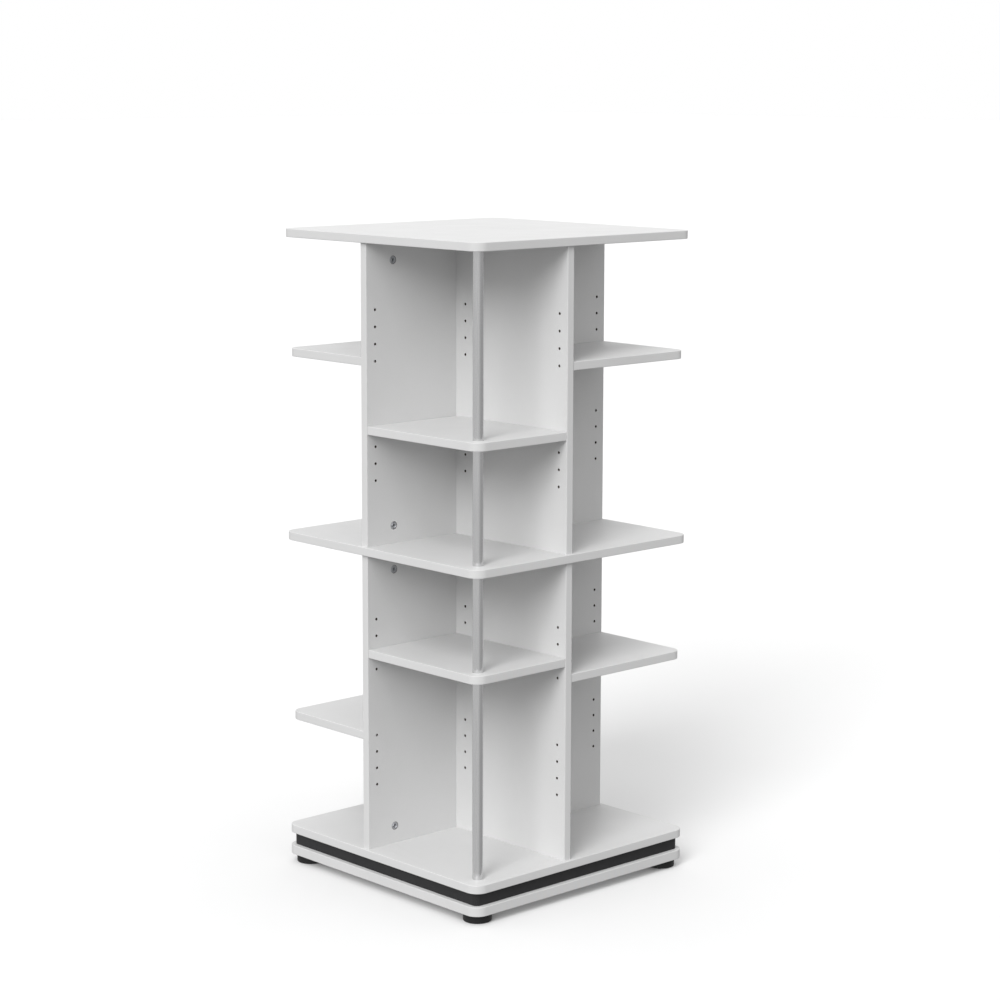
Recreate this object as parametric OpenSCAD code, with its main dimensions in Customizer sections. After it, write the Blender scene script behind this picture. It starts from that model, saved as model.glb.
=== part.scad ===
// Free-standing revolving shelf tower. Two storeys of boards turn as one body on a low plinth.
// Four partition panels per storey stand in a pinwheel round a closed central shaft, so each
// side of the tower offers one corner compartment, split by a shelf on 32 mm hole rows.
// Origin: on the floor, under the swivel axis. +Z is up, the sides face X and Y.

/* [Boards] */
// Width of the square top, middle and base boards
board_w = 554; // [500:2:640]
// Corner radius of the square boards
corner_r = 25; // [15:1:28]
// Thickness of boards, panels and shelves
board_t = 16; // [16:0.5:17]
// Clear height of one storey
storey_h = 568; // [504:32:632]

/* [Partition panels] */
// Distance from the swivel axis to each panel's mid-plane
shaft_offset = 40; // [38:1:60]
// How far a panel's front edge stands behind the board edge
panel_setback = 6; // [2:0.5:12]

/* [Hole rows] */
// Spacing of the shelf holes
hole_pitch = 32; // [32:32]
// Diameter of the shelf holes
hole_d = 5; // [5:0.5:6]
// Distance from a panel's front edge to its outer hole line
hole_edge = 21; // [18:1:37]
// Pitches between the outer and the inner hole line
hole_line_steps = 8; // [6:1:8]
// Pitches from the first hole of the low group to the first of the high group
group_steps = 7; // [5:1:7]
// Holes in each group
group_holes = 4; // [3:1:4]

/* [Shelves] */
// How far a shelf's edges stand behind the board edge
shelf_setback = 7; // [6:0.5:14]
// Assembly gap between a shelf and a panel face
shelf_gap = 0.5; // [0.2:0.1:1]
// Hole that carries the upper shelf on the front, right, back and left corner
upper_shelf_hole = [3, 7, 3, 7]; // [0:1:10]
// Hole that carries the lower shelf on the front, right, back and left corner
lower_shelf_hole = [8, 7, 8, 3]; // [0:1:10]

/* [Posts] */
// Outer diameter of the tubular corner posts
post_d = 20; // [16:1:24]
// Distance from the board edges to a post's centre
post_inset = 38; // [30:1:45]

/* [Plinth] */
// Thickness of the fixed bottom board
plinth_t = 18; // [16:1:22]
// Height between the bottom board and the base board
plinth_gap = 25; // [22:1:32]
// How far the dark skirt stands behind the board edge
skirt_inset = 10; // [6:1:16]
// Thickness of the skirt rails
skirt_t = 12; // [10:1:16]
// Outer corner radius of the skirt
skirt_r = 12; // [6:1:14]
// Running gap between the skirt and the base board
skirt_gap = 2; // [1:0.5:4]

/* [Feet] */
// Diameter of a foot
foot_d = 54; // [44:1:60]
// Height of a foot
foot_h = 17; // [15:1:22]
// Distance from the board edges to a foot's centre
foot_inset = 34; // [30:1:50]

/* [Hidden] */
$fn = 64;
eps = 0.5;
half_w = board_w / 2;

// Clearance round a fitting, and the spare depth of a blind hole
fit_gap = 0.1;
hole_spare = 1;

// Levels
plinth_z = foot_h;
skirt_z = plinth_z + plinth_t;
base_z = skirt_z + plinth_gap;
lower_z = base_z + board_t;
mid_z = lower_z + storey_h;
upper_z = mid_z + board_t;
top_z = upper_z + storey_h;

// Panels and their hole lines
panel_front = -half_w + panel_setback;
panel_end = shaft_offset - board_t / 2;
panel_len = panel_end - panel_front;
panel_face = shaft_offset + board_t / 2;
outer_line = panel_front + hole_edge;
inner_line = outer_line + hole_line_steps * hole_pitch;
low_hole = (storey_h - (group_steps + group_holes - 1) * hole_pitch) / 2;
hole_rows = [for (g = [0, group_steps], i = [0 : group_holes - 1]) g + i];

// Cam joints between the panels and the boards; the lines run across a panel
cam_d = 15;
cam_depth = 12.5;
cam_end = 34;
cam_driver_d = 3;
cam_driver_depth = 3;
cam_bolt_d = 6;
cam_bolt_hole = 7;
cam_bolt_in = 11;
cam_front = 65;
cam_back = 45;
cam_line = [panel_front + cam_front, panel_end - cam_back];
dowel_d = 8;
dowel_in_board = 11;
dowel_in_panel = 24;
dowel_front = 33;
dowel_back = 16;
dowel_line = [panel_front + dowel_front, panel_end - dowel_back];

// Shelves and their connectors
shelf_r = corner_r - 1;
housing_d = 20;
housing_h = 12.5;
housing_edge = 11;
housing_driver_d = 4;
housing_driver_depth = 2.5;
neck_d = 6;
neck_len = 9;
neck_gap = 0.4;
shank_len = 13;

// Post tubes and their plugs
post_wall = 1.5;
plug_len = 18;
pin_d = 8;
pin_len = 6;
post_xy = -half_w + post_inset;

// Ball bearing and the riser under it
race_t = 2.5;
race_gap = 3;
race_ri = 85;
race_ro = 125;
ball_r = 2.2;
ball_track = 105;
ball_count = 24;
ball_gap = 0.05;
cage_t = 1;
cage_w = 8;
race_h = 2 * race_t + race_gap;
riser_h = plinth_gap - race_h;
riser_r = 150;
ball_z = base_z - race_h / 2;
race_screw_r = 117;
screw_d = 3.5;
screw_len = 12;
screw_head_d = 7;
screw_head_h = 1.8;
screw_board_depth = screw_len - race_t + hole_spare;
riser_screw_r = 60;
riser_screw_d = 5;
riser_screw_head_d = 10;
riser_screw_head_h = 4;
riser_screw_head_gap = 0.5;
riser_screw_in = 12;

// Feet
foot_xy = half_w - foot_inset;
foot_screw_d = 5;
foot_bore_d = 12;
foot_floor = 5;
foot_sole_ease = 2.5;
foot_rim_ease = 1;
foot_screw_in = 13;
foot_head_gap = 1.5;
foot_head_h = 3.5;

white = "white";
zinc = "silver";
steel = "lightgray";
dark = "dimgray";
rubber = "black";
birch = "burlywood";

// ---- shapes that repeat ----

// Square plate with four rounded corners, lying on z = 0
module rounded_plate(w, r, t) {
    linear_extrude(t) {
        square([w, w - 2 * r], center = true);
        square([w - 2 * r, w], center = true);
        for (x = [-1, 1], y = [-1, 1])
            translate([x, y] * (w / 2 - r)) circle(r);
    }
}

// Turns a child made for the front corner to corner k: front, right, back, left
module at_corner(k) {
    rotate(90 * k) children();
}

// Repeats a child at the four corners
module at_corners() {
    for (k = [0 : 3]) at_corner(k) children();
}

// Puts a child at each of the points in the list
module at_points(points) {
    for (p = points) translate(p) children();
}

// Panel joint points in plan, for one panel
function joint_points(line) = [for (x = line) [x, shaft_offset, 0]];

// Upright cylinder from z0 to z1
module rod(d, z0, z1) {
    translate([0, 0, z0]) cylinder(d = d, h = z1 - z0);
}

// Horizontal cylinder along +X from the origin
module rod_x(d, len) {
    rotate([0, 90, 0]) cylinder(d = d, h = len);
}

// Horizontal cylinder along +Y from the origin
module rod_y(d, len) {
    rotate([-90, 0, 0]) cylinder(d = d, h = len);
}

// ---- partition panels ----

// First panel of a storey: it runs from the left side to the shaft, with through-drilled
// hole rows, two cam pockets at each end and bores for bolts and dowels in its ends
module panel(z0) {
    y0 = shaft_offset - board_t / 2;
    translate([0, 0, z0]) difference() {
        translate([panel_front, y0, 0]) cube([panel_len, board_t, storey_h]);
        for (x = [outer_line, inner_line], i = hole_rows)
            translate([x, y0 - eps, low_hole + i * hole_pitch]) rod_y(hole_d, board_t + 2 * eps);
        for (x = cam_line, z = [cam_end, storey_h - cam_end])
            translate([x, y0 - eps, z]) rod_y(cam_d + 2 * fit_gap, cam_depth + fit_gap + eps);
        at_points(joint_points(cam_line)) {
            rod(cam_bolt_hole, -eps, cam_end);
            rod(cam_bolt_hole, storey_h - cam_end, storey_h + eps);
        }
        at_points(joint_points(dowel_line)) {
            rod(dowel_d + fit_gap, -eps, dowel_in_panel + eps);
            rod(dowel_d + fit_gap, storey_h - dowel_in_panel - eps, storey_h + eps);
        }
    }
}

// Eccentric cam of one panel joint, with the channel that takes its bolt's head
module cam(x, z, up) {
    y0 = shaft_offset - board_t / 2;
    translate([x, y0, z]) difference() {
        rod_y(cam_d, cam_depth);
        translate([0, board_t / 2, up ? -eps : -cam_d]) cylinder(d = cam_bolt_hole, h = cam_d + eps);
        translate([0, -eps, 0]) rod_y(cam_driver_d, cam_driver_depth);
    }
}

// All cams of a storey
module cams(z0) {
    at_corners() for (x = cam_line) {
        cam(x, z0 + cam_end, false);
        cam(x, z0 + storey_h - cam_end, true);
    }
}

// Repeats a child at each cam bolt's axis, all round the tower
module at_cam_bolts() {
    at_corners() at_points(joint_points(cam_line)) children();
}

// Repeats a child at each dowel's axis, all round the tower
module at_dowels() {
    at_corners() at_points(joint_points(dowel_line)) children();
}

// ---- shelves ----

// Height of a shelf's middle above its storey's floor
function shelf_mid(i) = low_hole + i * hole_pitch;

// Points where a front shelf meets its bolts, with the turn that faces the panel
front_bolts = [
    [-panel_face, outer_line, 0],
    [-panel_face, inner_line, 0],
    [outer_line, panel_end, 90]
];

// Places a child at each bolt of a front-corner shelf, its +X pointing into the panel
module at_front_bolts(z) {
    for (p = front_bolts) translate([p[0], p[1], z]) rotate(p[2]) children();
}

// Shelf of the front corner, with its pockets, bolt bores and, on request, a post bore
module shelf(z, with_post) {
    x0 = -half_w + shelf_setback;
    len_x = -panel_face - shelf_gap - x0;
    len_y = panel_end - shelf_gap - x0;
    difference() {
        translate([x0, x0, z - board_t / 2]) linear_extrude(board_t) {
            translate([shelf_r, 0]) square([len_x - shelf_r, len_y]);
            translate([0, shelf_r]) square([len_x, len_y - shelf_r]);
            translate([shelf_r, shelf_r]) circle(shelf_r);
        }
        at_front_bolts(z) {
            translate([-housing_edge - shelf_gap, 0, -board_t / 2 - eps])
                cylinder(d = housing_d + 2 * fit_gap, h = housing_h + fit_gap + eps);
            translate([-housing_edge, 0, 0]) rod_x(neck_d + neck_gap, housing_edge + eps);
        }
        if (with_post) translate([post_xy, post_xy, 0])
            rod(post_d + 2 * fit_gap, z - board_t, z + board_t);
    }
}

// Connector housing in a shelf's underside, bored for the bolt's neck
module housing() {
    difference() {
        translate([-housing_edge - shelf_gap, 0, -board_t / 2]) cylinder(d = housing_d, h = housing_h);
        translate([-neck_len - fit_gap, 0, 0]) rod_x(neck_d + neck_gap, neck_len + hole_spare);
        translate([-housing_edge - shelf_gap, 0, -board_t / 2 - eps])
            cylinder(d = housing_driver_d, h = housing_driver_depth + eps);
    }
}

// Bolt screwed into a panel's hole, whose neck the housing grips
module shelf_bolt() {
    rod_x(hole_d - 0.1, shank_len);
    translate([-neck_len, 0, 0]) rod_x(neck_d, neck_len);
}

// Repeats a child at every shelf bolt of a storey
module at_storey_bolts(z0, holes) {
    for (k = [0 : 3]) at_corner(k) at_front_bolts(z0 + shelf_mid(holes[k])) children();
}

// ---- posts ----

// Tube post of the front corner
module post(z0) {
    translate([post_xy, post_xy, z0]) difference() {
        cylinder(d = post_d, h = storey_h);
        translate([0, 0, -eps]) cylinder(d = post_d - 2 * post_wall, h = storey_h + 2 * eps);
    }
}

// Plug in a post's end: a core in the tube and a pin in the board
module post_plug() {
    rod(post_d - 2 * post_wall - fit_gap, 0, plug_len);
    rod(pin_d, -pin_len, eps);
}

// All post plugs, on the posts of the front and the back corner
module all_post_plugs() {
    for (k = [0, 2], z0 = [lower_z, upper_z]) at_corner(k) translate([post_xy, post_xy, 0]) {
        translate([0, 0, z0]) post_plug();
        translate([0, 0, z0 + storey_h]) mirror([0, 0, 1]) post_plug();
    }
}

// Pin holes for the posts in one face of a board: dir 1 drills up from z, -1 down from z
module post_pin_holes(z, dir) {
    for (k = [0, 2]) at_corner(k) translate([post_xy, post_xy, 0])
        if (dir > 0) rod(pin_d + fit_gap, z - eps, z + pin_len + fit_gap);
        else rod(pin_d + fit_gap, z - pin_len - fit_gap, z + eps);
}

// ---- square boards ----

module base_board() {
    color(white) difference() {
        translate([0, 0, base_z]) rounded_plate(board_w, corner_r, board_t);
        at_cam_bolts() rod(cam_bolt_d + fit_gap, lower_z - cam_bolt_in - fit_gap, lower_z + eps);
        at_dowels() rod(dowel_d + fit_gap, lower_z - dowel_in_board - fit_gap, lower_z + eps);
        post_pin_holes(lower_z, -1);
        at_race_screws() rod(screw_d + fit_gap, base_z - eps, base_z + screw_board_depth);
    }
}

module mid_board() {
    color(white) difference() {
        translate([0, 0, mid_z]) rounded_plate(board_w, corner_r, board_t);
        at_cam_bolts() rod(cam_bolt_d + fit_gap, mid_z - eps, upper_z + eps);
        at_dowels() rod(dowel_d + fit_gap, mid_z - eps, upper_z + eps);
        post_pin_holes(mid_z, 1);
        post_pin_holes(upper_z, -1);
    }
}

module top_board() {
    color(white) difference() {
        translate([0, 0, top_z]) rounded_plate(board_w, corner_r, board_t);
        at_cam_bolts() rod(cam_bolt_d + fit_gap, top_z - eps, top_z + cam_bolt_in + fit_gap);
        at_dowels() rod(dowel_d + fit_gap, top_z - eps, top_z + dowel_in_board + fit_gap);
        post_pin_holes(top_z, 1);
    }
}

// ---- plinth and bearing ----

module plinth_board() {
    color(white) difference() {
        translate([0, 0, plinth_z]) rounded_plate(board_w, corner_r, plinth_t);
        at_feet() rod(foot_screw_d + fit_gap, plinth_z - eps, plinth_z + foot_screw_in + hole_spare);
        at_riser_screws() {
            rod(riser_screw_d + fit_gap, plinth_z - eps, skirt_z + eps);
            rod(riser_screw_head_d + fit_gap, plinth_z - eps, plinth_z + riser_screw_head_h);
        }
    }
}

// Skirt rail of the side that faces -Y, mitred at both ends
module skirt_rail() {
    w = board_w - 2 * skirt_inset;
    h = plinth_gap - skirt_gap;
    translate([0, 0, skirt_z]) intersection() {
        difference() {
            rounded_plate(w, skirt_r, h);
            translate([0, 0, h / 2]) cube([w - 2 * skirt_t, w - 2 * skirt_t, h + 2 * eps], center = true);
        }
        linear_extrude(h) polygon([[0, 0], [-w, -w], [w, -w]]);
    }
}

// Repeats a child at the four feet
module at_feet() {
    for (x = [-1, 1], y = [-1, 1]) translate([x, y, 0] * foot_xy) children();
}

// Foot puck with chamfered edges and a bore for its screw
module foot() {
    r = foot_d / 2;
    translate([-foot_xy, -foot_xy, 0]) difference() {
        rotate_extrude() polygon([
            [0, 0], [r - foot_sole_ease, 0], [r, foot_sole_ease],
            [r, foot_h - foot_rim_ease], [r - foot_rim_ease, foot_h], [0, foot_h]
        ]);
        rod(foot_bore_d, -eps, foot_h - foot_floor);
        rod(foot_screw_d + fit_gap, 0, foot_h + eps);
    }
}

module foot_screw() {
    z = foot_h - foot_floor;
    rod(foot_bore_d - 2 * foot_head_gap, z - foot_head_h, z);
    rod(foot_screw_d, z - eps, foot_h + foot_screw_in);
}

// Repeats a child at the screws that hold the riser
module at_riser_screws() {
    for (a = [45 : 90 : 315]) rotate(a) translate([riser_screw_r, 0, 0]) children();
}

module riser_screw() {
    gap = riser_screw_head_gap;
    rod(riser_screw_head_d - gap, plinth_z + gap, plinth_z + riser_screw_head_h);
    rod(riser_screw_d, plinth_z + riser_screw_head_h - eps, skirt_z + riser_screw_in);
}

// Repeats a child at the screws that hold each race
module at_race_screws() {
    for (a = [0 : 60 : 300]) rotate(a) translate([race_screw_r, 0, 0]) children();
}

// Groove that the balls run in
module ball_groove() {
    translate([0, 0, ball_z]) rotate_extrude()
        translate([ball_track, 0]) circle(ball_r + ball_gap, $fn = 48);
}

// Flat race ring with its groove and countersunk screw holes; z is its lower face
module race(z, head_z) {
    difference() {
        translate([0, 0, z]) cylinder(r = race_ro, h = race_t, $fn = 128);
        translate([0, 0, z - eps]) cylinder(r = race_ri, h = race_t + 2 * eps, $fn = 128);
        ball_groove();
        at_race_screws() {
            rod(screw_d + fit_gap, z - eps, z + race_t + eps);
            rod(screw_head_d + fit_gap, head_z, head_z + screw_head_h + eps);
        }
    }
}

// Places a child at each ball
module at_balls() {
    for (i = [0 : ball_count - 1])
        rotate(i * 360 / ball_count) translate([ball_track, 0, ball_z]) children();
}

module ball_cage() {
    color(steel) difference() {
        translate([0, 0, ball_z - cage_t / 2]) cylinder(r = ball_track + cage_w / 2, h = cage_t, $fn = 128);
        translate([0, 0, ball_z - cage_t]) cylinder(r = ball_track - cage_w / 2, h = 2 * cage_t, $fn = 128);
        at_balls() cylinder(r = ball_r + ball_gap, h = 2 * cage_t, center = true, $fn = 32);
    }
}

// ---- nodes ----

module feet_node(k) { color(rubber) at_corner(k) foot(); }
module foot_screws() { color(zinc) at_feet() foot_screw(); }
module skirt_node(k) { color(dark) at_corner(k) skirt_rail(); }
module riser() {
    color(birch) difference() {
        rod(2 * riser_r, skirt_z, skirt_z + riser_h);
        at_riser_screws() rod(riser_screw_d + fit_gap, skirt_z - eps, skirt_z + riser_screw_in + hole_spare);
        at_race_screws() rod(screw_d + fit_gap, skirt_z + riser_h - screw_len, skirt_z + riser_h + eps);
    }
}
module riser_screws() { color(zinc) at_riser_screws() riser_screw(); }
module lower_race() {
    color(steel) race(base_z - race_h, base_z - race_h + race_t - screw_head_h);
}
module upper_race() {
    color(steel) race(base_z - race_t, base_z - race_t - eps);
}
module lower_race_screws() {
    z = base_z - race_h + race_t;
    color(zinc) at_race_screws() {
        rod(screw_head_d, z - screw_head_h + fit_gap, z);
        rod(screw_d, z - screw_len, z - screw_head_h / 2);
    }
}
module upper_race_screws() {
    z = base_z - race_t;
    color(zinc) at_race_screws() {
        rod(screw_head_d, z, z + screw_head_h - eps - fit_gap);
        rod(screw_d, z + eps, z + screw_len);
    }
}
module balls() { color(steel) at_balls() sphere(ball_r, $fn = 24); }
module lower_panel(k) { color(white) at_corner(k) panel(lower_z); }
module upper_panel(k) { color(white) at_corner(k) panel(upper_z); }
module lower_shelf(k) {
    color(white) at_corner(k) shelf(lower_z + shelf_mid(lower_shelf_hole[k]), k % 2 == 0);
}
module upper_shelf(k) {
    color(white) at_corner(k) shelf(upper_z + shelf_mid(upper_shelf_hole[k]), k % 2 == 0);
}
module lower_post(k) { color(steel) at_corner(k) post(lower_z); }
module upper_post(k) { color(steel) at_corner(k) post(upper_z); }
module post_plugs() { color(dark) all_post_plugs(); }
module lower_housings() { color(zinc) at_storey_bolts(lower_z, lower_shelf_hole) housing(); }
module upper_housings() { color(zinc) at_storey_bolts(upper_z, upper_shelf_hole) housing(); }
module lower_shelf_bolts() { color(zinc) at_storey_bolts(lower_z, lower_shelf_hole) shelf_bolt(); }
module upper_shelf_bolts() { color(zinc) at_storey_bolts(upper_z, upper_shelf_hole) shelf_bolt(); }
module lower_cams() { color(zinc) cams(lower_z); }
module upper_cams() { color(zinc) cams(upper_z); }
module base_cam_bolts() {
    color(zinc) at_cam_bolts() rod(cam_bolt_d, lower_z - cam_bolt_in, lower_z + cam_end);
}
module mid_cam_bolts() {
    color(zinc) at_cam_bolts() rod(cam_bolt_d, mid_z - cam_end, upper_z + cam_end);
}
module top_cam_bolts() {
    color(zinc) at_cam_bolts() rod(cam_bolt_d, top_z - cam_end, top_z + cam_bolt_in);
}
module base_dowels() {
    color(birch) at_dowels() rod(dowel_d, lower_z - dowel_in_board, lower_z + dowel_in_panel);
}
module mid_dowels() {
    color(birch) at_dowels() rod(dowel_d, mid_z - dowel_in_panel, upper_z + dowel_in_panel);
}
module top_dowels() {
    color(birch) at_dowels() rod(dowel_d, top_z - dowel_in_panel, top_z + dowel_in_board);
}

feet_node(0);  // foot_front
feet_node(1);  // foot_right
feet_node(2);  // foot_back
feet_node(3);  // foot_left
foot_screws();
plinth_board();
skirt_node(0);  // skirt_rail_front
skirt_node(1);  // skirt_rail_right
skirt_node(2);  // skirt_rail_back
skirt_node(3);  // skirt_rail_left
riser();
riser_screws();
lower_race();
lower_race_screws();
ball_cage();
balls();
upper_race();
upper_race_screws();
base_board();
mid_board();
top_board();
lower_panel(0);  // lower_panel_1
lower_panel(1);  // lower_panel_2
lower_panel(2);  // lower_panel_3
lower_panel(3);  // lower_panel_4
upper_panel(0);  // upper_panel_1
upper_panel(1);  // upper_panel_2
upper_panel(2);  // upper_panel_3
upper_panel(3);  // upper_panel_4
lower_shelf(0);  // lower_shelf_front
lower_shelf(1);  // lower_shelf_right
lower_shelf(2);  // lower_shelf_back
lower_shelf(3);  // lower_shelf_left
upper_shelf(0);  // upper_shelf_front
upper_shelf(1);  // upper_shelf_right
upper_shelf(2);  // upper_shelf_back
upper_shelf(3);  // upper_shelf_left
lower_post(0);  // lower_post_front
lower_post(2);  // lower_post_back
upper_post(0);  // upper_post_front
upper_post(2);  // upper_post_back
post_plugs();
lower_housings();
upper_housings();
lower_shelf_bolts();
upper_shelf_bolts();
lower_cams();
upper_cams();
base_cam_bolts();
mid_cam_bolts();
top_cam_bolts();
base_dowels();
mid_dowels();
top_dowels();
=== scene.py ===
"""Looks of the revolving shelf tower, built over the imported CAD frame.

Boards, panels and shelves are drilled chipboard in white melamine with a plastic edge
band. Posts, plinth band, feet, cam locks and bearing balls are modelled piece by piece,
and the other fittings keep their CAD shape under procedural materials. All in metres.
"""

import math

import bmesh
import bpy
from mathutils import Matrix, Vector


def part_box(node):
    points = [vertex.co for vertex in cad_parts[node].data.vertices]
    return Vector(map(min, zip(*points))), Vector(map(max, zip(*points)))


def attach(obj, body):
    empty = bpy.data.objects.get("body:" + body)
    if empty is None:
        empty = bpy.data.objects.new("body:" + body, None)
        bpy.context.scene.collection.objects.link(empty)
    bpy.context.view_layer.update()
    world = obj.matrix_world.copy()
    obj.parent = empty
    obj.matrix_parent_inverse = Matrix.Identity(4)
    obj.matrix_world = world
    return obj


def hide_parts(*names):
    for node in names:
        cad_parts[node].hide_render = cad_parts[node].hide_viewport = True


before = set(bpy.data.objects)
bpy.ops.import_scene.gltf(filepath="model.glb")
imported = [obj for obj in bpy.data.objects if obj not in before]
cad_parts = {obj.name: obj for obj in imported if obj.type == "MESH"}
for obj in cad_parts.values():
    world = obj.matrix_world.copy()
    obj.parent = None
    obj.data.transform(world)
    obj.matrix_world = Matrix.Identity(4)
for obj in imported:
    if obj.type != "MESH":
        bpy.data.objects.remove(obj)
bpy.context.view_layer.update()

# Chipboard and its edge band
BOARD_RADIUS = 0.025
SHELF_RADIUS = 0.024
BAND = 0.002  # thickness of the edge band
ARRIS = 0.0012  # rounding of the band's outer edges
JOINT = 0.00015  # fine chamfer where the band meets the laminate
GLUE_GAP = 0.00002  # keeps the band's back off the core's side
CORNER_STEPS = 14
ARRIS_STEPS = 5

# Rows of shelf holes in the panels
HOLE_RADIUS = 0.0025
HOLE_RIM = 0.00015  # eased rim of a drilled hole
HOLE_PITCH = 0.032
FIRST_HOLE = 0.124  # above the storey's floor
HOLE_ROWS = (0, 1, 2, 3, 7, 8, 9, 10)
OUTER_LINE = 0.021  # from the panel's free edge
INNER_LINE = 0.026  # from the panel's inner end

# Fittings
CAM_RADIUS = 0.0075
CAM_DEPTH = 0.0125
CAM_CORE = 0.0002  # radius left at the middle of a turned face
HOUSING_RADIUS = 0.010
POST_RADIUS = 0.010
POST_WALL = 0.0015
FIT = 0.0002  # clearance round a fitting in its pocket
SKIRT_THICKNESS = 0.012
ROUND = 96  # facets of a large turned part
SMALL_ROUND = 40  # facets of a small hole or fitting
BALL_LEVELS = 4  # subdivision of a bearing ball
SLIVER = 0.00001  # points closer than this are one point
SPLIT = 0.000001  # distance between the doubled points of a CAD mesh
SHARP = 32  # degrees, steeper edges aren't smoothed


# Mesh building -----------------------------------------------------------------------


def loft(bm, rings, slot=0, closed=False):
    """Joins rings of equal length into one solid, capped at both ends unless closed."""
    rows = [[bm.verts.new(p) for p in ring] for ring in rings]
    pairs = list(zip(rows, rows[1:])) + ([(rows[-1], rows[0])] if closed else [])
    faces = []
    for a, b in pairs:
        for i in range(len(a)):
            j = (i + 1) % len(a)
            faces.append(bm.faces.new((a[i], a[j], b[j], b[i])))
    if not closed:
        faces.append(bm.faces.new(rows[0]))
        faces.append(bm.faces.new(reversed(rows[-1])))
    for face in faces:
        face.material_index = slot
        face.smooth = True


def lathe(bm, profile, place):
    """Turns a closed profile of (radius, height) about the Z axis of the matrix place."""
    rings = []
    for i in range(ROUND):
        turn = Matrix.Rotation(2 * math.pi * i / ROUND, 4, "Z")
        rings.append([place @ turn @ Vector((r, 0, h)) for r, h in profile])
    loft(bm, rings, closed=True)


def plug(bm, profile, place):
    """Solid of revolution from an open profile of (radius, height), capped at its ends."""
    angles = [2 * math.pi * i / SMALL_ROUND for i in range(SMALL_ROUND)]
    rings = []
    for r, h in profile:
        rings.append([place @ Vector((r * math.cos(a), r * math.sin(a), h)) for a in angles])
    loft(bm, rings)


def arc(x, y, radius, start, end, steps=CORNER_STEPS):
    """Points of an arc about (x, y), angles in degrees."""
    angles = [math.radians(start + (end - start) * i / steps) for i in range(steps + 1)]
    return [(x + radius * math.cos(a), y + radius * math.sin(a)) for a in angles]


def new_object(name, bm, materials):
    """Turns a bmesh into an object in the scene, with these materials."""
    bmesh.ops.recalc_face_normals(bm, faces=bm.faces)
    mesh = bpy.data.meshes.new(name)
    bm.to_mesh(mesh)
    bm.free()
    for material in materials:
        mesh.materials.append(material)
    piece = bpy.data.objects.new(name, mesh)
    bpy.context.scene.collection.objects.link(piece)
    return piece


def finish_piece(piece, body, node):
    """Sets the piece's normals and body, and hides the CAD node that it stands for."""
    piece.data.polygons.foreach_set("use_smooth", [True] * len(piece.data.polygons))
    piece.data.set_sharp_from_angle(angle=math.radians(SHARP))
    normals = piece.modifiers.new("Even normals", "WEIGHTED_NORMAL")
    normals.keep_sharp = True
    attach(piece, body)
    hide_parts(node)


def clean(mesh):
    """Triangulates a cut mesh, without tiny edges or faces folded flat on each other."""
    bm = bmesh.new()
    bm.from_mesh(mesh)
    bmesh.ops.remove_doubles(bm, verts=bm.verts, dist=SLIVER)
    bmesh.ops.dissolve_degenerate(bm, edges=bm.edges, dist=SLIVER)
    bmesh.ops.triangulate(bm, faces=bm.faces, ngon_method="BEAUTY")
    same_corners = {}
    for face in bm.faces:
        same_corners.setdefault(frozenset(face.verts), []).append(face)
    folds = [face for twins in same_corners.values() if len(twins) == 2 for face in twins]
    bmesh.ops.delete(bm, geom=folds, context="FACES")
    bm.to_mesh(mesh)
    bm.free()


def cut(piece, cutter):
    """Subtracts the cutter object from the piece, then deletes the cutter."""
    change = piece.modifiers.new("Cut", "BOOLEAN")
    change.operation = "DIFFERENCE"
    change.solver = "EXACT"
    change.material_mode = "TRANSFER"
    change.object = cutter
    bpy.context.view_layer.update()
    graph = bpy.context.evaluated_depsgraph_get()
    result = bpy.data.meshes.new_from_object(piece.evaluated_get(graph))
    piece.modifiers.clear()
    clean(result)
    before = piece.data
    piece.data = result
    bpy.data.meshes.remove(before)
    bpy.data.objects.remove(cutter)


# CAD fittings ------------------------------------------------------------------------


def welded(node):
    """The CAD node's solids as a bmesh with its split vertices joined."""
    bm = bmesh.new()
    bm.from_mesh(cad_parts[node].data)
    bmesh.ops.remove_doubles(bm, verts=bm.verts, dist=SPLIT)
    return bm


def islands(node):
    """Lowest and highest corner of every separate solid in a CAD node."""
    bm = welded(node)
    seen, found = set(), []
    for start in bm.verts:
        if start in seen:
            continue
        seen.add(start)
        group, queue = [], [start]
        while queue:
            v = queue.pop()
            group.append(v.co)
            for edge in v.link_edges:
                other = edge.other_vert(v)
                if other not in seen:
                    seen.add(other)
                    queue.append(other)
        lo = Vector([min(p[i] for p in group) for i in range(3)])
        hi = Vector([max(p[i] for p in group) for i in range(3)])
        found.append((lo, hi))
    bm.free()
    return found


def drill(piece, *nodes):
    """Cuts the bores of the fittings in these CAD nodes, their walls lined with painted shade."""
    for node in nodes:
        cut(piece, new_object("cutter", welded(node), [PAINTED_SHADE_BORE]))


# Materials ---------------------------------------------------------------------------


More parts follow.
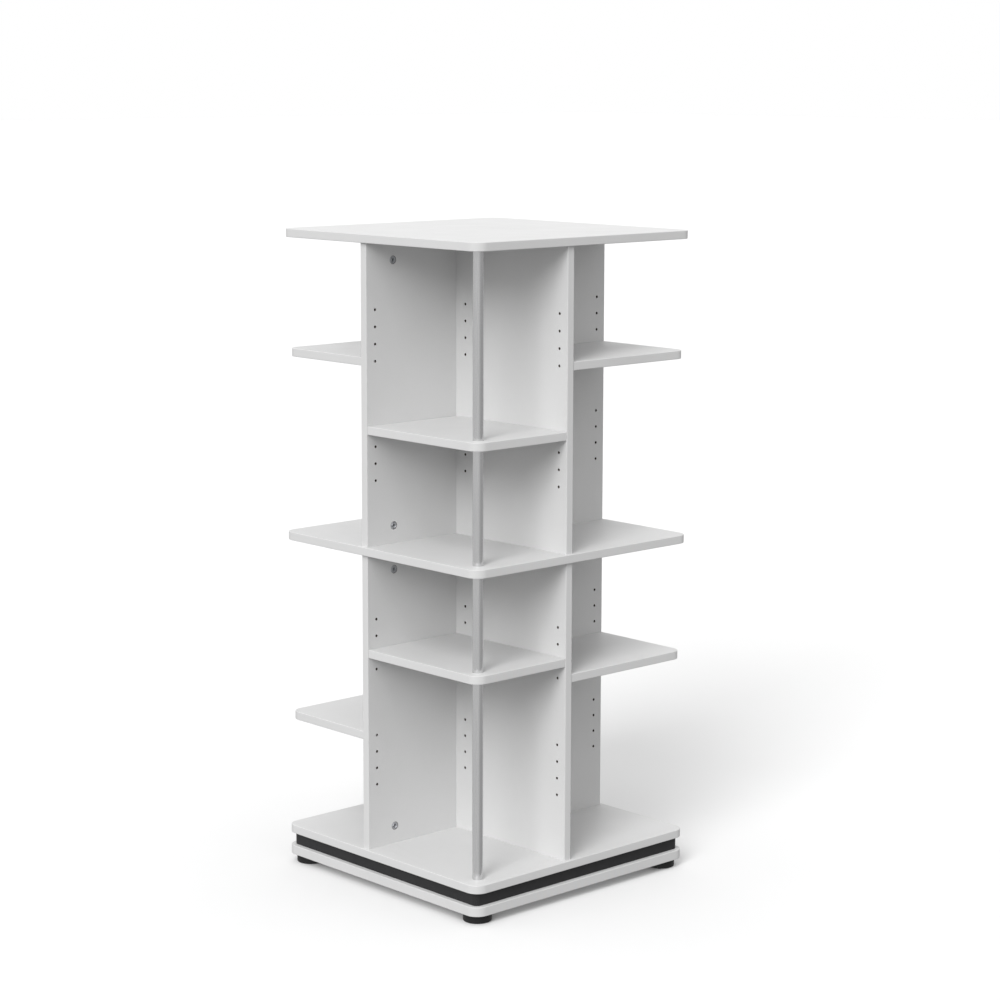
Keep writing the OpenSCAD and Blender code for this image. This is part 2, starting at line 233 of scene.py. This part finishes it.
class Finish:
    """A Principled material with short calls for the texture nodes that feed it."""

    def __init__(self, name, color, roughness, metallic=0.0):
        self.material = bpy.data.materials.new(name)
        self.material.use_nodes = True
        self.nodes = self.material.node_tree.nodes
        self.links = self.material.node_tree.links
        self.shader = self.nodes["Principled BSDF"]
        self.shader.inputs["Base Color"].default_value = (*color, 1)
        self.shader.inputs["Roughness"].default_value = roughness
        self.shader.inputs["Metallic"].default_value = metallic
        self.color = color
        self.place = self.nodes.new("ShaderNodeTexCoord").outputs["Object"]
        self.normal = None

    def stretched(self, scale):
        """Object coordinates multiplied by a scale for each axis."""
        mapping = self.nodes.new("ShaderNodeMapping")
        mapping.inputs["Scale"].default_value = scale
        self.links.new(self.place, mapping.inputs["Vector"])
        return mapping.outputs["Vector"]

    def noise(self, scale, detail=3.0, stretch=(1, 1, 1), distortion=0.0):
        """Noise of this many features a metre, as a 0 to 1 value."""
        node = self.nodes.new("ShaderNodeTexNoise")
        node.inputs["Scale"].default_value = scale
        node.inputs["Detail"].default_value = detail
        node.inputs["Distortion"].default_value = distortion
        self.links.new(self.stretched(stretch), node.inputs["Vector"])
        return node.outputs["Fac"]

    def cells(self, scale, stretch=(1, 1, 1), output="Distance"):
        """Voronoi cells of this many a metre."""
        node = self.nodes.new("ShaderNodeTexVoronoi")
        node.inputs["Scale"].default_value = scale
        self.links.new(self.stretched(stretch), node.inputs["Vector"])
        return node.outputs[output]

    def spread(self, value, low, high, start=0.3, end=0.7):
        """Maps a 0 to 1 texture value to the range low to high."""
        node = self.nodes.new("ShaderNodeMapRange")
        node.inputs["From Min"].default_value = start
        node.inputs["From Max"].default_value = end
        node.inputs["To Min"].default_value = low
        node.inputs["To Max"].default_value = high
        self.links.new(value, node.inputs["Value"])
        return node.outputs["Result"]

    def tint(self, value, other, start=0.3, end=0.7):
        """Varies the base colour towards another colour with a texture value."""
        mix = self.nodes.new("ShaderNodeMix")
        mix.data_type = "RGBA"
        self.links.new(self.spread(value, 0, 1, start, end), mix.inputs["Factor"])
        source = self.shader.inputs["Base Color"]
        if source.is_linked:
            self.links.new(source.links[0].from_socket, mix.inputs["A"])
        else:
            mix.inputs["A"].default_value = (*self.color, 1)
        mix.inputs["B"].default_value = (*other, 1)
        self.links.new(mix.outputs["Result"], source)

    def gloss(self, value, low, high):
        """Varies the roughness with a texture value."""
        self.links.new(self.spread(value, low, high), self.shader.inputs["Roughness"])

    def bump(self, value, depth, strength=1.0):
        """Adds a bump of this depth in metres on top of those before it."""
        node = self.nodes.new("ShaderNodeBump")
        node.inputs["Strength"].default_value = strength
        node.inputs["Distance"].default_value = depth
        self.links.new(value, node.inputs["Height"])
        if self.normal:
            self.links.new(self.normal, node.inputs["Normal"])
        self.normal = node.outputs["Normal"]
        self.links.new(self.normal, self.shader.inputs["Normal"])


def melamine():
    """White melamine face with a fine pearl texture and hardly visible clouding."""
    finish = Finish("white_melamine", (0.655, 0.655, 0.655), 0.50)
    finish.shader.inputs["Specular IOR Level"].default_value = 0.3
    finish.tint(finish.noise(7, 4), (0.634, 0.634, 0.632))
    finish.tint(finish.noise(900, 2), (0.67, 0.67, 0.67), 0.45, 0.75)
    finish.gloss(finish.noise(16, 5), 0.44, 0.56)
    finish.bump(finish.noise(260, 2), 0.00004, 0.35)
    finish.bump(finish.cells(1500), 0.00003, 0.5)
    return finish.material


def edge_band(name, stretch):
    """White plastic edge band with fine lines along its run."""
    finish = Finish(name, (0.65, 0.65, 0.65), 0.40)
    finish.shader.inputs["Specular IOR Level"].default_value = 0.35
    finish.tint(finish.noise(9, 3), (0.63, 0.63, 0.629))
    finish.gloss(finish.noise(40, 4, stretch), 0.36, 0.48)
    finish.bump(finish.noise(60, 3, stretch), 0.00004, 0.5)
    return finish.material


def raw_chipboard(name, color, pale, dark):
    """Pressed wood chips in three tones."""
    finish = Finish(name, color, 0.85)
    finish.tint(finish.cells(520, (1, 1, 2.2)), pale, 0.1, 0.8)
    finish.tint(finish.noise(900, 4), dark, 0.55, 0.8)
    finish.bump(finish.cells(520, (1, 1, 2.2)), 0.0003, 0.6)
    finish.bump(finish.noise(1800, 3), 0.00015, 0.5)
    return finish.material


def satin_aluminium():
    """Anodised tube with fine lines drawn along its length."""
    finish = Finish("satin_aluminium", (0.72, 0.72, 0.725), 0.20, metallic=1.0)
    along = (1, 1, 0.012)
    finish.tint(finish.noise(2600, 3, along), (0.64, 0.64, 0.645))
    finish.gloss(finish.noise(1500, 4, along), 0.16, 0.24)
    finish.bump(finish.noise(3800, 3, along), 0.000008, 0.4)
    finish.bump(finish.noise(60, 2), 0.00005, 0.15)
    return finish.material


def dark_laminate():
    """Anthracite plinth band with a fine crystal texture and light scuffs."""
    finish = Finish("anthracite_laminate", (0.016, 0.016, 0.017), 0.46)
    finish.shader.inputs["Specular IOR Level"].default_value = 0.3
    finish.tint(finish.noise(22, 5, distortion=0.6), (0.020, 0.020, 0.021))
    finish.tint(finish.noise(1100, 2), (0.032, 0.032, 0.034), 0.6, 0.85)
    finish.gloss(finish.noise(70, 5), 0.40, 0.54)
    finish.bump(finish.cells(1300), 0.00008, 0.6)
    finish.bump(finish.noise(320, 3), 0.00006, 0.4)
    return finish.material


def moulded_plastic(name, color, pale, scale):
    """Textured moulded plastic with a spark-eroded grain."""
    finish = Finish(name, color, 0.52)
    finish.shader.inputs["Specular IOR Level"].default_value = 0.3
    finish.tint(finish.noise(45, 4), pale)
    finish.gloss(finish.noise(120, 4), 0.44, 0.60)
    finish.bump(finish.cells(scale), 0.00006, 0.7)
    finish.bump(finish.noise(scale * 2, 2), 0.00003, 0.5)
    return finish.material


def die_cast_zinc():
    """Cast and tumbled zinc, mottled and softly pitted."""
    finish = Finish("die_cast_zinc", (0.50, 0.51, 0.53), 0.42, metallic=1.0)
    finish.tint(finish.cells(650, output="Color"), (0.40, 0.41, 0.43))
    finish.tint(finish.noise(1500, 3), (0.60, 0.61, 0.62), 0.55, 0.8)
    finish.gloss(finish.noise(800, 4), 0.34, 0.54)
    finish.bump(finish.noise(2200, 3), 0.00004, 0.6)
    return finish.material


def rolled_steel():
    """Pressed sheet steel with rolling lines and a thin film of grease."""
    finish = Finish("rolled_steel", (0.52, 0.52, 0.53), 0.32, metallic=1.0)
    finish.tint(finish.noise(140, 4, (1, 0.05, 1)), (0.44, 0.44, 0.45))
    finish.gloss(finish.noise(60, 4), 0.22, 0.42)
    finish.bump(finish.noise(900, 3, (1, 0.04, 1)), 0.00002, 0.5)
    return finish.material


def beech():
    """Beech dowel with its grain along the length."""
    finish = Finish("beech", (0.60, 0.43, 0.26), 0.60)
    finish.tint(finish.noise(1400, 4, (1, 1, 0.05), 0.8), (0.46, 0.30, 0.17))
    finish.bump(finish.noise(1800, 3, (1, 1, 0.05)), 0.0001, 0.6)
    return finish.material


MELAMINE = melamine()
FLAT_BAND = edge_band("edge_band_level", (0.4, 0.4, 40))
UPRIGHT_BAND = edge_band("edge_band_upright", (40, 40, 0.4))
RAW = raw_chipboard("raw_chipboard", (0.42, 0.31, 0.19), (0.56, 0.44, 0.29), (0.25, 0.17, 0.10))
# Bore walls: raw chipboard tones darkened to near-black, painted shade inside drilled holes and pockets
PAINTED_SHADE_BORE = raw_chipboard("bore_chipboard_painted_shade", (0.055, 0.045, 0.035), (0.085, 0.07, 0.055), (0.03, 0.024, 0.018))
ALUMINIUM = satin_aluminium()
LAMINATE = dark_laminate()
FOOT_PLASTIC = moulded_plastic("foot_plastic", (0.008, 0.008, 0.0085), (0.013, 0.013, 0.0135), 1400)
PLUG_PLASTIC = moulded_plastic("plug_plastic", (0.05, 0.05, 0.052), (0.065, 0.065, 0.066), 1800)
ZINC = die_cast_zinc()
STEEL = rolled_steel()
BEECH = beech()

# Finish of a carried-over CAD node, by its material slot in the record
CAD_FINISHES = {
    "board": MELAMINE,
    "post": ALUMINIUM,
    "skirt": LAMINATE,
    "foot": FOOT_PLASTIC,
    "zinc": ZINC,
    "steel": STEEL,
    "riser_board": RAW,
    "dowel": BEECH,
    "plug": PLUG_PLASTIC,
}


# Chipboard pieces --------------------------------------------------------------------


def band_section(thickness):
    """Cross-section of the edge band as (inset, height) points, outer edges rounded."""
    back = BAND - GLUE_GAP
    low = arc(ARRIS, ARRIS, ARRIS, 270, 180, ARRIS_STEPS)
    high = arc(ARRIS, thickness - ARRIS, ARRIS, 180, 90, ARRIS_STEPS)
    top = [(back - JOINT, thickness), (back, thickness - JOINT)]
    bottom = [(back, JOINT), (back - JOINT, 0)]
    return low + high + top + bottom


def sweep(bm, section, path, place, slot=0, closed=False):
    """Sweeps a section of (inset, height) points along path(inset)."""
    runs = [[place @ Vector((x, y, h)) for x, y in path(inset)] for inset, h in section]
    loft(bm, list(zip(*runs)), slot, closed)


def core_mesh(outline, place, thickness):
    """Core board between two faces, whose rims carry the fine joint chamfer."""
    levels = ((JOINT, 0), (0, JOINT), (0, thickness - JOINT), (JOINT, thickness))
    bm = bmesh.new()
    loft(bm, [[place @ Vector((x, y, h)) for x, y in outline(d)] for d, h in levels])
    return bm


def join_band(piece, path, place, thickness, closed=False):
    """Adds the edge band to a drilled core."""
    bm = bmesh.new()
    sweep(bm, band_section(thickness), path, place, slot=1, closed=closed)
    bmesh.ops.recalc_face_normals(bm, faces=bm.faces)
    bm.from_mesh(piece.data)
    bm.to_mesh(piece.data)
    bm.free()


def add_hole(bm, place, radius, depth, through=False):
    """Cutter of a drilled hole from z 0 down to -depth of the matrix place."""
    rim = [(radius + 2 * HOLE_RIM, HOLE_RIM), (radius, -HOLE_RIM)]
    end = [(radius, -depth)]
    if through:
        end = [(radius, HOLE_RIM - depth), (radius + 2 * HOLE_RIM, -depth - HOLE_RIM)]
    plug(bm, rim + end, place)


def build_level_board(node, body, fittings):
    """Square board with rounded corners and the edge band all round."""
    lo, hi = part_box(node)
    half, thickness = hi.x, hi.z - lo.z
    centre = half - BOARD_RADIUS
    place = Matrix.Translation((0, 0, lo.z))

    def path(inset):
        radius = BOARD_RADIUS - inset
        points = []
        for k, (x, y) in enumerate(((1, 1), (-1, 1), (-1, -1), (1, -1))):
            points += arc(centre * x, centre * y, radius, 90 * k, 90 * k + 90)
        return points

    bm = core_mesh(lambda inset: path(BAND + inset), place, thickness)
    piece = new_object(node + "_laminated", bm, [MELAMINE, FLAT_BAND])
    drill(piece, *fittings)
    join_band(piece, path, place, thickness, closed=True)
    finish_piece(piece, body, node)


def quarter(k):
    """Turn of k quarters about the tower's axis."""
    return Matrix.Rotation(math.radians(90 * k), 4, "Z")


def build_shelf(storey, corner, k):
    """Corner shelf with the edge band along its two free sides."""
    node = f"{storey}_shelf_{corner}"
    lo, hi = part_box(f"{storey}_shelf_front")
    floor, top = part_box(node)[0].z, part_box(node)[1].z
    thickness = top - floor
    place = quarter(k) @ Matrix.Translation((0, 0, floor))

    def path(inset, end=0.0):
        centre = (lo.x + SHELF_RADIUS, lo.y + SHELF_RADIUS)
        bend = arc(*centre, SHELF_RADIUS - inset, 270, 180)
        return [(hi.x - end, lo.y + inset), *bend, (lo.x + inset, hi.y - end)]

    def outline(inset):
        return path(BAND + inset, end=inset) + [(hi.x - inset, hi.y - inset)]

    piece = new_object(node + "_laminated", core_mesh(outline, place, thickness), [MELAMINE, FLAT_BAND])
    # The cutter's material lines the housing and post holes with painted shade
    bm = bmesh.new()
    for low, high in islands(f"{storey}_housings"):
        centre = (low + high) / 2
        if abs(low.z - floor) < thickness / 2 and inside(node, centre):
            under = Matrix.Translation((centre.x, centre.y, floor)) @ Matrix.Rotation(math.pi, 4, "X")
            add_hole(bm, under, HOUSING_RADIUS + JOINT, high.z - low.z)
    post = f"{storey}_post_{corner}"
    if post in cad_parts:
        middle = sum(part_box(post), Vector()) / 2
        bore = Matrix.Translation((middle.x, middle.y, top))
        add_hole(bm, bore, POST_RADIUS + JOINT, thickness, through=True)
    cut(piece, new_object("cutter", bm, [PAINTED_SHADE_BORE]))
    drill(piece, f"{storey}_shelf_bolts")
    join_band(piece, path, place, thickness)
    finish_piece(piece, "tower", node)


def inside(node, point):
    """Whether a point lies in the CAD node's box."""
    lo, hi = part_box(node)
    return all(lo[i] <= point[i] <= hi[i] for i in range(3))


def build_panel(storey, number):
    """Upright partition panel with shelf holes, cam pockets and a banded free edge."""
    node = f"{storey}_panel_{number}"
    lo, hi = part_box(f"{storey}_panel_1")
    thickness = hi.y - lo.y
    # The panel is drawn flat: x along its width, y up and z through its thickness
    stand = Matrix(((1, 0, 0, 0), (0, 0, 1, lo.y), (0, 1, 0, 0), (0, 0, 0, 1)))
    place = quarter(number - 1) @ stand

    def path(inset):
        return [(lo.x + inset, lo.z), (lo.x + inset, hi.z)]

    def outline(inset):
        x = lo.x + BAND + inset
        bottom, top = lo.z + inset, hi.z - inset
        return [(x, bottom), (hi.x - inset, bottom), (hi.x - inset, top), (x, top)]

    piece = new_object(node + "_laminated", core_mesh(outline, place, thickness), [MELAMINE, UPRIGHT_BAND])
    # The cutter's material lines the shelf holes and cam pockets with painted shade
    bm = bmesh.new()
    for row in HOLE_ROWS:
        height = lo.z + FIRST_HOLE + HOLE_PITCH * row
        for x in (lo.x + OUTER_LINE, hi.x - INNER_LINE):
            hole = place @ Matrix.Translation((x, height, thickness))
            add_hole(bm, hole, HOLE_RADIUS, thickness, through=True)
    for face in cam_faces(storey, number):
        add_hole(bm, face, CAM_RADIUS + FIT, CAM_DEPTH + FIT)
    cut(piece, new_object("cutter", bm, [PAINTED_SHADE_BORE]))
    ends = {"lower": ("base", "mid"), "upper": ("mid", "top")}[storey]
    drill(piece, *(f"{end}_{fitting}" for end in ends for fitting in ("cam_bolts", "dowels")))
    join_band(piece, path, place, thickness)
    finish_piece(piece, "tower", node)


# Fittings ----------------------------------------------------------------------------


def cam_faces(storey, number):
    """Place of each cam in a panel: its origin on the panel's face, Z pointing out."""
    back = quarter(1 - number)
    face_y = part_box(f"{storey}_panel_1")[0].y
    faces = []
    for low, high in islands(f"{storey}_cams"):
        centre = (low + high) / 2
        if inside(f"{storey}_panel_{number}", centre):
            flat = back @ centre
            spot = Matrix.Translation((flat.x, face_y, flat.z))
            faces.append(quarter(number - 1) @ spot @ Matrix.Rotation(math.pi / 2, 4, "X"))
    return faces


def cam_profile():
    """Half section of a cam: a rim, a sunken face and a raised boss for the driver."""
    radius, bottom = CAM_RADIUS - FIT, FIT - CAM_DEPTH
    rim_top, face, boss_top = -0.0003, -0.0008, -0.0004
    rim_ease, rim_inner, rim_foot = 0.0003, radius - 0.0014, radius - 0.0017
    boss_foot, boss_edge, bottom_ease = 0.0046, 0.0043, 0.0004
    base = [(CAM_CORE, bottom), (radius - bottom_ease, bottom), (radius, bottom + bottom_ease)]
    rim = [(radius, rim_top - rim_ease), (radius - rim_ease, rim_top), (rim_inner, rim_top), (rim_foot, face)]
    boss = [(boss_foot, face), (boss_edge, boss_top), (CAM_CORE, boss_top)]
    return base + rim + boss


def driver_recess():
    """Cutter of a cross recess, narrower at its bottom."""
    bottom, mouth = (0.0021, 0.0007, -0.0042), (0.0042, 0.0012, 0.0006)  # length, width, height
    rings = []
    for length, width, height in (bottom, mouth):
        arm = ((length, -width), (length, width), (width, width))
        rings.append([quarter(k) @ Vector((x, y, height)) for k in range(4) for x, y in arm])
    bm = bmesh.new()
    loft(bm, rings)
    return bm


def build_cams(storey):
    """All cam locks of a storey, each with a cross recess."""
    bm = bmesh.new()
    plug(bm, cam_profile(), Matrix())
    model = new_object("cam_model", bm, [ZINC])
    cut(model, new_object("cutter", driver_recess(), [ZINC]))
    joined = bmesh.new()
    first_turn, next_turn = 45, 11  # degrees, the locks aren't all turned equally far
    for number in range(1, 5):
        for index, face in enumerate(cam_faces(storey, number)):
            twist = Matrix.Rotation(math.radians(first_turn + next_turn * index), 4, "Z")
            copy = model.data.copy()
            copy.transform(face @ twist)
            joined.from_mesh(copy)
            bpy.data.meshes.remove(copy)
    bpy.data.objects.remove(model)
    piece = new_object(f"{storey}_cam_locks", joined, [ZINC])
    finish_piece(piece, "tower", f"{storey}_cams")


def build_post(storey, corner):
    """Satin tube with softly broken ends."""
    node = f"{storey}_post_{corner}"
    lo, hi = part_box(node)
    middle = (lo + hi) / 2
    outer, inner, ease = POST_RADIUS, POST_RADIUS - POST_WALL, 0.0004
    profile = [(inner, lo.z), (outer - ease, lo.z), (outer, lo.z + ease)]
    profile += [(outer, hi.z - ease), (outer - ease, hi.z), (inner, hi.z)]
    bm = bmesh.new()
    lathe(bm, profile, Matrix.Translation((middle.x, middle.y, 0)))
    piece = new_object(node + "_tube", bm, [ALUMINIUM])
    finish_piece(piece, "tower", node)


def build_skirt(side, k):
    """Plinth rail with eased edges, mitred to its neighbours at rounded corners."""
    node = f"skirt_rail_{side}"
    lo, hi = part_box("skirt_rail_front")
    mitre = 44.7  # degrees of each corner on this rail, a hair under half
    ease, corner_steps, ease_steps = 0.0009, 8, 3
    centre = -lo.y - SKIRT_THICKNESS
    place = quarter(k) @ Matrix.Translation((0, 0, lo.z))
    height = hi.z - lo.z

    def path(inset):
        radius = SKIRT_THICKNESS - inset
        left = arc(-centre, -centre, radius, 270 - mitre, 270, corner_steps)
        right = arc(centre, -centre, radius, 270, 270 + mitre, corner_steps)
        return left + right

    section = arc(ease, ease, ease, 270, 180, ease_steps)
    section += arc(ease, height - ease, ease, 180, 90, ease_steps)
    back = SKIRT_THICKNESS - ease / 4
    section += [(back, height), (back, 0)]
    bm = bmesh.new()
    sweep(bm, section, path, place)
    piece = new_object(node + "_rail", bm, [LAMINATE])
    finish_piece(piece, "plinth", node)


def build_foot(corner):
    """Moulded puck with a rounded sole, a parting line and a bore for its screw."""
    node = f"foot_{corner}"
    lo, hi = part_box(node)
    middle, radius, height = (lo + hi) / 2, (hi.x - lo.x) / 2, hi.z - lo.z
    bore, bore_floor, bore_ease, screw = 0.006, 0.012, 0.0006, 0.0027
    sole, sole_steps, edge, edge_steps = 0.0026, 8, 0.0009, 4
    line, split = 0.0003, height * 0.62  # the parting line and its height
    profile = [(screw, bore_floor), (bore, bore_floor), (bore, bore_ease), (bore + bore_ease, 0)]
    profile += arc(radius - sole, sole, sole, 270, 360, sole_steps)
    profile += [(radius, split - line), (radius - line, split), (radius, split + line)]
    profile += arc(radius - edge, height - edge, edge, 0, 90, edge_steps)
    profile += [(screw, height)]
    bm = bmesh.new()
    lathe(bm, profile, Matrix.Translation((middle.x, middle.y, lo.z)))
    piece = new_object(node + "_puck", bm, [FOOT_PLASTIC])
    finish_piece(piece, "plinth", node)


def build_balls():
    """Ground steel balls of the bearing."""
    bm = bmesh.new()
    for low, high in islands("balls"):
        place, radius = Matrix.Translation((low + high) / 2), (high.z - low.z) / 2
        bmesh.ops.create_icosphere(bm, subdivisions=BALL_LEVELS, radius=radius, matrix=place)
    piece = new_object("bearing_balls", bm, [STEEL])
    finish_piece(piece, "cage", "balls")


CORNERS = ("front", "right", "back", "left")

build_level_board("plinth_board", "plinth", ("foot_screws", "riser_screws"))
build_level_board("base_board", "tower", ("base_cam_bolts", "base_dowels", "post_plugs", "upper_race_screws"))
build_level_board("mid_board", "tower", ("mid_cam_bolts", "mid_dowels", "post_plugs"))
build_level_board("top_board", "tower", ("top_cam_bolts", "top_dowels", "post_plugs"))
for storey in ("lower", "upper"):
    build_cams(storey)
    for number in range(1, 5):
        build_panel(storey, number)
    for k, corner in enumerate(CORNERS):
        build_shelf(storey, corner, k)
    for corner in ("front", "back"):
        build_post(storey, corner)
for k, corner in enumerate(CORNERS):
    build_skirt(corner, k)
    build_foot(corner)
build_balls()

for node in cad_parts.values():
    for holder in node.material_slots:
        holder.material = CAD_FINISHES[holder.material.name.split(".")[0]]


# Studio ------------------------------------------------------------------------------


def build_floor():
    """Plain pale floor that runs out of sight and throws no light back on the tower."""
    half = 60.0
    corners = ((-half, -half), (half, -half), (half, half), (-half, half))
    bm = bmesh.new()
    bm.faces.new([bm.verts.new((x, y, 0)) for x, y in corners])
    finish = Finish("floor", (0.87, 0.87, 0.87), 0.75)
    finish.tint(finish.noise(3, 3), (0.865, 0.865, 0.865))
    finish.shader.inputs["Specular IOR Level"].default_value = 0.1
    floor = new_object("floor", bm, [finish.material])
    floor.visible_diffuse = False
    floor.visible_glossy = False


def add_sun(name, azimuth, elevation, strength, softness):
    """Far light that comes from this direction, angles in degrees."""
    light = bpy.data.lights.new(name, "SUN")
    light.energy = strength
    light.angle = math.radians(softness)
    lamp = bpy.data.objects.new(name, light)
    a, e = math.radians(azimuth), math.radians(elevation)
    source = Vector((math.sin(a) * math.cos(e), -math.cos(a) * math.cos(e), math.sin(e)))
    lamp.rotation_euler = source.to_track_quat("Z", "Y").to_euler()
    lamp.location = source * 5
    bpy.context.scene.collection.objects.link(lamp)


def build_world():
    """White surroundings for the camera, an even dim fill, and a darker area for gloss."""
    fill_light, gloss_light, gloss_dark = 0.37, 0.64, 0.41
    dark_side, dark_start, dark_full = Vector((1, -1, 0)).normalized(), 0.2, 0.95
    world = bpy.data.worlds.new("studio")
    world.use_nodes = True
    nodes, links = world.node_tree.nodes, world.node_tree.links
    path = nodes.new("ShaderNodeLightPath").outputs

    # Glossy rays see a soft dark area on the right, which gives the posts their dark stripe
    towards = nodes.new("ShaderNodeVectorMath")
    towards.operation = "DOT_PRODUCT"
    towards.inputs[1].default_value = dark_side
    links.new(nodes.new("ShaderNodeTexCoord").outputs["Generated"], towards.inputs[0])
    dark_area = nodes.new("ShaderNodeMapRange")
    dark_area.interpolation_type = "SMOOTHSTEP"
    dark_area.inputs["From Min"].default_value = dark_start
    dark_area.inputs["From Max"].default_value = dark_full
    dark_area.inputs["To Min"].default_value = gloss_light
    dark_area.inputs["To Max"].default_value = gloss_dark
    links.new(towards.outputs["Value"], dark_area.inputs["Value"])
    strength = nodes.new("ShaderNodeMix")
    strength.inputs["A"].default_value = fill_light
    links.new(path["Is Glossy Ray"], strength.inputs["Factor"])
    links.new(dark_area.outputs["Result"], strength.inputs["B"])

    fill, white = nodes["Background"], nodes.new("ShaderNodeBackground")
    for background in (fill, white):
        background.inputs["Color"].default_value = (1, 1, 1, 1)
    links.new(strength.outputs["Result"], fill.inputs["Strength"])
    mix = nodes.new("ShaderNodeMixShader")
    links.new(path["Is Camera Ray"], mix.inputs["Fac"])
    links.new(fill.outputs["Background"], mix.inputs[1])
    links.new(white.outputs["Background"], mix.inputs[2])
    links.new(mix.outputs["Shader"], nodes["World Output"].inputs["Surface"])
    bpy.context.scene.world = world


def build_camera():
    """Camera in front of the tower's front corner, a little above its middle."""
    place = Vector((-3.3194, -3.6067, 1.5470))
    azimuth, elevation, roll = -42.94, 8.43, 0.14
    focal_ratio = 2.580  # focal length over the picture's width
    a, e, r = math.radians(azimuth), math.radians(elevation), math.radians(roll)
    back = Vector((math.sin(a) * math.cos(e), -math.cos(a) * math.cos(e), math.sin(e)))
    right = Vector((0, 0, 1)).cross(back).normalized()
    up = back.cross(right)
    side = right * math.cos(r) + up * math.sin(r)
    top = up * math.cos(r) - right * math.sin(r)
    data = bpy.data.cameras.new("camera")
    data.sensor_width = 36
    data.lens = focal_ratio * data.sensor_width
    data.shift_y = -0.05
    camera = bpy.data.objects.new("camera", data)
    camera.matrix_world = Matrix.Translation(place) @ Matrix((side, top, back)).transposed().to_4x4()
    bpy.context.scene.collection.objects.link(camera)
    bpy.context.scene.camera = camera


build_floor()
build_world()
add_sun("low_key", azimuth=-65, elevation=28, strength=1.38, softness=26)
add_sun("high_key", azimuth=-62, elevation=50, strength=0.85, softness=24)
add_sun("overhead", azimuth=0, elevation=90, strength=1.45, softness=165)
build_camera()
bpy.context.scene.view_settings.view_transform = "Standard"
